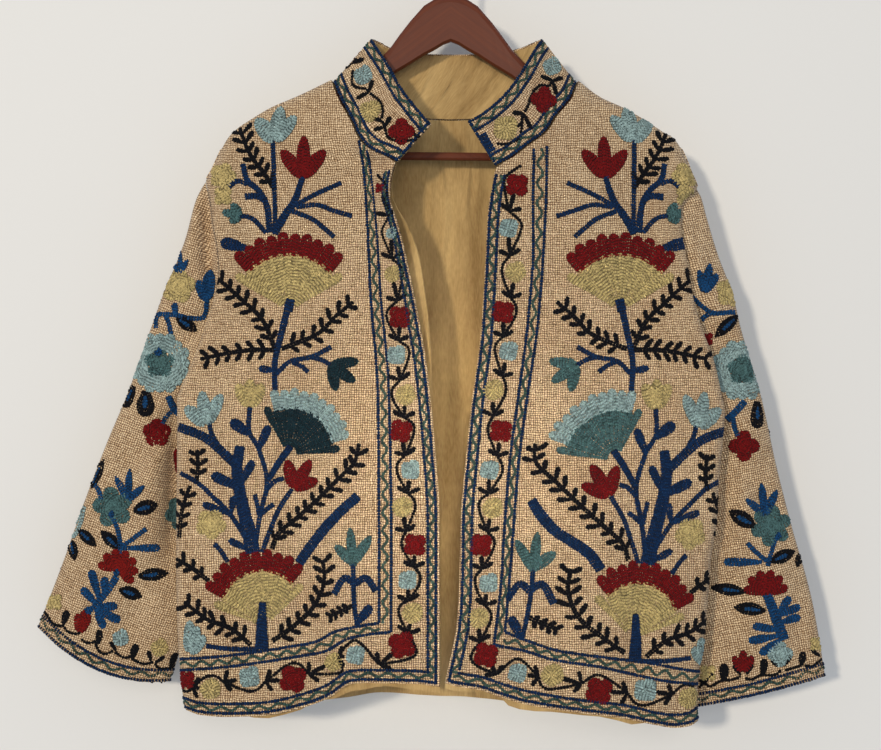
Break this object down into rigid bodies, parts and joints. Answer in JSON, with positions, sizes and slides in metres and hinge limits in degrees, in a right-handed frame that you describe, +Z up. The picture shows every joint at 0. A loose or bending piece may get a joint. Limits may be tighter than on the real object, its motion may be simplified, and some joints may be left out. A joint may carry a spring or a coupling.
{
  "type": "embroidered jacket on wooden hanger",
  "caption": "Short open-front cotton jacket with a stand collar, wide sleeves and floral wool embroidery, hanging on a wooden hanger.",
  "frame": {"origin": "top of the hook's inside, where a rail holds the hanger", "axes": "+Z up, +X to the viewer's right, and the jacket's front faces -Y"},
  "size_m": [0.8191, 0.0872, 0.8213],
  "materials": {
    "cloth": "coarse natural basket weave cotton",
    "lining": "thin mustard-tan cotton",
    "wood": "reddish-brown stain, satin varnish",
    "steel": "nickel-plated wire"
  },
  "bodies": {
    "root": {"front_right": "cloth", "front_left": "cloth", "back": "cloth", "sleeve_right": "cloth", "sleeve_left": "cloth", "collar": "cloth", "collar_lining": "lining", "lining_back": "lining", "lining_front_right": "lining", "lining_front_left": "lining", "hanger": "wood", "hanger_bar": "wood", "hanger_hook": "steel"}
  },
  "joints": []
}
